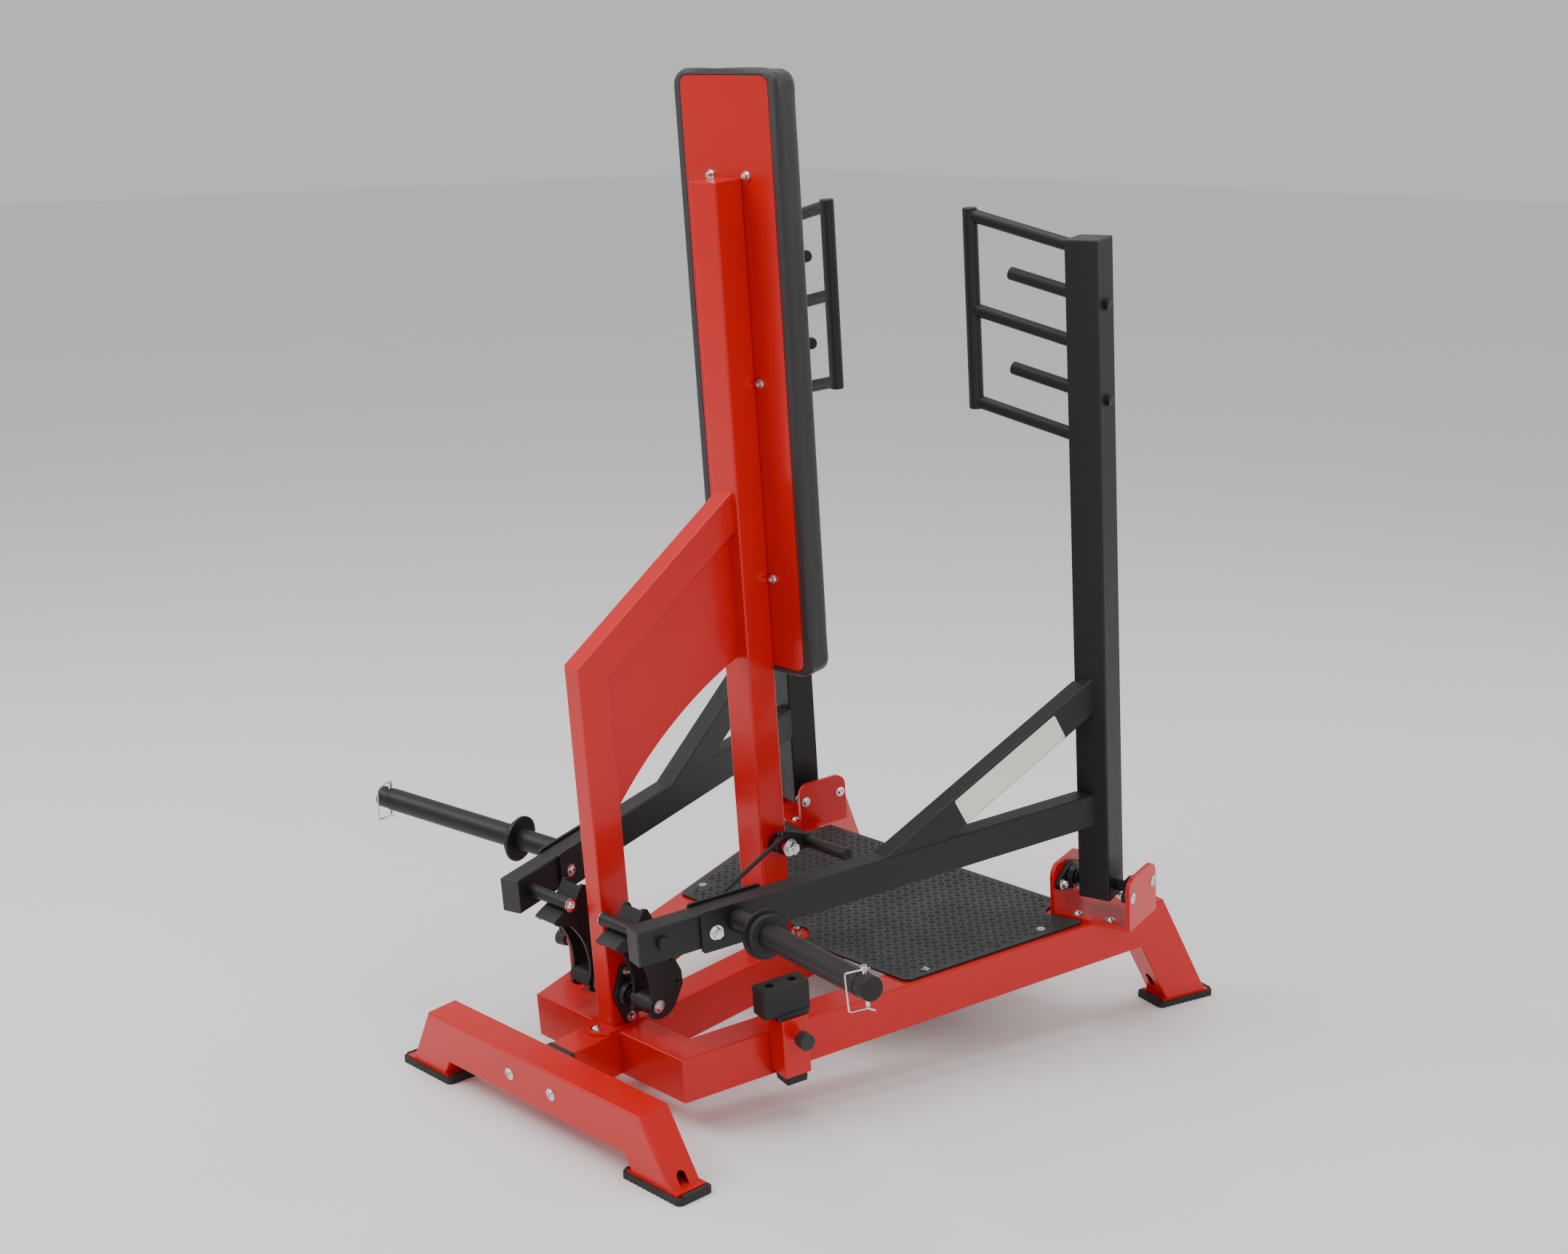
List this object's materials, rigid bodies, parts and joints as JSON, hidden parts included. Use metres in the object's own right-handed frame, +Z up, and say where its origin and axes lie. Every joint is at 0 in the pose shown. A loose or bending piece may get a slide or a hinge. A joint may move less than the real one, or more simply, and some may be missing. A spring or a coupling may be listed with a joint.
{
  "type": "plate-loaded standing chest press",
  "caption": "Leaning-back standing press machine: red welded frame with back pad, black lever arms with weight horns, held by a pedal-released catch.",
  "frame": {"origin": "centre of the machine's footprint box, on the floor", "axes": "+Z up, -Y the way the user faces, +X to the user's left"},
  "size_m": [1.5474, 1.5842, 2.1106],
  "materials": {
    "frame_red": "gloss",
    "panel_red": "gloss",
    "arm_black": "satin",
    "hardware_zinc": "polished",
    "shaft_steel": "brushed",
    "bearing_black": "satin",
    "rubber_black": "matte",
    "cap_black": "matte",
    "cap_red": "satin",
    "pad_black": "satin",
    "tread_black": "satin",
    "wire_steel": "satin",
    "plate_cream": "satin"
  },
  "bodies": {
    "frame": {"rear_foot": "frame_red", "stub_beam": "frame_red", "stub_flange": "cap_black", "cross_member": "frame_red", "side_members": "frame_red", "front_legs": "frame_red", "front_tie": "frame_red", "centre_beam": "frame_red", "column": "frame_red", "diagonal_brace": "frame_red", "gusset": "frame_red", "post": "frame_red", "post_cap": "cap_red", "pad_panel": "panel_red", "back_pad": "pad_black", "pad_screws": "hardware_zinc", "tread_plate": "tread_black", "pivot_brackets": "frame_red", "arm_bearings": "bearing_black", "bearing_bolts": "hardware_zinc", "catch_bearings": "bearing_black", "frame_screws": "hardware_zinc", "pedal_axle": "frame_red", "stop_sleeves": "frame_red", "foot_plates": "frame_red", "rubber_feet": "rubber_black"},
    "arm_left": {"arm_upright_left": "arm_black", "arm_beam_left": "arm_black", "arm_brace_left": "arm_black", "arm_caps_left": "cap_black", "clamp_plates_left": "arm_black", "arm_screws_left": "hardware_zinc", "weight_horn_left": "arm_black", "horn_collar_left": "rubber_black", "handles_left": "arm_black", "id_plate_left": "plate_cream"},
    "lock_pin_left": {"lock_pin_left": "wire_steel"},
    "lock_bail_left": {"lock_bail_left": "wire_steel"},
    "stop_left": {"stop_post_left": "arm_black", "stop_block_left": "rubber_black"},
    "pull_pin_left": {"pull_pin_left": "cap_black"},
    "arm_right": {"arm_upright_right": "arm_black", "arm_beam_right": "arm_black", "arm_brace_right": "arm_black", "arm_caps_right": "cap_black", "clamp_plates_right": "arm_black", "arm_screws_right": "hardware_zinc", "weight_horn_right": "arm_black", "horn_collar_right": "rubber_black", "handles_right": "arm_black", "id_plate_right": "plate_cream"},
    "lock_pin_right": {"lock_pin_right": "wire_steel"},
    "lock_bail_right": {"lock_bail_right": "wire_steel"},
    "stop_right": {"stop_post_right": "arm_black", "stop_block_right": "rubber_black"},
    "pull_pin_right": {"pull_pin_right": "cap_black"},
    "catch": {"catch_shaft": "shaft_steel", "catch_levers": "arm_black"},
    "pedal": {"pedal": "arm_black"},
    "rod": {"connecting_rod": "arm_black"}
  },
  "joints": [
    {"name": "arm_left_press", "type": "hinge", "parent": "frame", "child": "arm_left", "pos_m": [0.47839, -0.47505, 0.33182], "axis": [0.9796, -0.2003, 0.0175], "range_deg": [0, 25]},
    {"name": "arm_right_press", "type": "hinge", "parent": "frame", "child": "arm_right", "pos_m": [-0.47839, -0.47505, 0.33182], "axis": [0.9796, 0.2003, -0.0175], "range_deg": [0, 25]},
    {"name": "catch_swing", "type": "hinge", "parent": "frame", "child": "catch", "pos_m": [0, 0.54852, 0.23826], "axis": [1, 0, 0], "range_deg": [0, 12], "stiffness_Nm_per_rad": 4, "springref_deg": -17.19},
    {"name": "pedal_press", "type": "hinge", "parent": "frame", "child": "pedal", "pos_m": [-0.06, 0.12775, 0.46579], "axis": [1, 0, 0], "range_deg": [0, 28]},
    {"name": "rod_swing", "type": "hinge", "parent": "pedal", "child": "rod", "pos_m": [-0.08, 0.13708, 0.49208], "axis": [1, 0, 0], "range_deg": [-30, 0]},
    {"name": "stop_left_lift", "type": "slide", "parent": "frame", "child": "stop_left", "axis": [0, 0.0872, 0.9962], "range_m": [0, 0.06]},
    {"name": "pull_pin_left_pull", "type": "slide", "parent": "frame", "child": "pull_pin_left", "axis": [0.9678, 0.2506, -0.0219], "range_m": [0, 0.012], "stiffness_N_per_m": 600, "springref_m": -0.004},
    {"name": "lock_pin_left_draw", "type": "slide", "parent": "arm_left", "child": "lock_pin_left", "axis": [-0.0987, 0.0619, 0.9932], "range_m": [0, 0.08]},
    {"name": "lock_bail_left_swing", "type": "hinge", "parent": "lock_pin_left", "child": "lock_bail_left", "pos_m": [0.74297, 0.58936, 0.52199], "axis": [0.9645, 0.2516, 0.0801], "range_deg": [0, 112]},
    {"name": "stop_right_lift", "type": "slide", "parent": "frame", "child": "stop_right", "axis": [0, 0.0872, 0.9962], "range_m": [0, 0.06]},
    {"name": "pull_pin_right_pull", "type": "slide", "parent": "frame", "child": "pull_pin_right", "axis": [-0.9678, 0.2506, -0.0219], "range_m": [0, 0.012], "stiffness_N_per_m": 600, "springref_m": -0.004},
    {"name": "lock_pin_right_draw", "type": "slide", "parent": "arm_right", "child": "lock_pin_right", "axis": [0.0987, 0.0619, 0.9932], "range_m": [0, 0.08]},
    {"name": "lock_bail_right_swing", "type": "hinge", "parent": "lock_pin_right", "child": "lock_bail_right", "pos_m": [-0.74297, 0.58936, 0.52199], "axis": [0.9645, -0.2516, -0.0801], "range_deg": [0, 112]}
  ],
  "couplings": [
    {"joint": "pedal_press", "follows": "catch_swing", "ratio": 2.2883},
    {"joint": "rod_swing", "follows": "catch_swing", "ratio": -2.4003},
    {"joint": "lock_bail_left_swing", "follows": "lock_pin_left_draw", "rad_per_m": 24},
    {"joint": "lock_bail_right_swing", "follows": "lock_pin_right_draw", "rad_per_m": 24}
  ]
}
